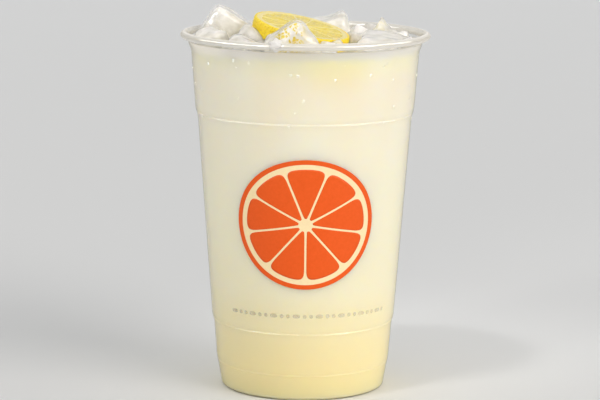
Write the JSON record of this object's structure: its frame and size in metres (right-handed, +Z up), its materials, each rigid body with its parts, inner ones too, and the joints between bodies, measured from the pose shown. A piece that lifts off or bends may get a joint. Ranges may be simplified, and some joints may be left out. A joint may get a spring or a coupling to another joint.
{
  "type": "cup of lemonade with ice",
  "caption": "Tall clear tapered cup with a rolled rim, filled with cloudy lemonade, ice cubes and a lemon slice standing above the rim.",
  "frame": {"origin": "centre of the ring that the cup stands on, on the table plane", "axes": "+Z up along the cup's axis, towards the rim; -Y out of the printed front; +X to the right of a viewer who faces the print"},
  "size_m": [0.098, 0.098, 0.1499],
  "materials": {
    "clear_plastic": "gloss",
    "lemonade": "gloss",
    "lemon": "satin",
    "ice": "gloss"
  },
  "bodies": {
    "root": {"cup": "clear_plastic", "lemonade": "lemonade", "lemon_slice": "lemon", "ice_left": "ice", "ice_chip": "ice", "ice_front": "ice", "ice_behind": "ice", "ice_tip": "ice", "ice_right": "ice", "ice_back": "ice", "ice_front_left": "ice"}
  },
  "joints": []
}
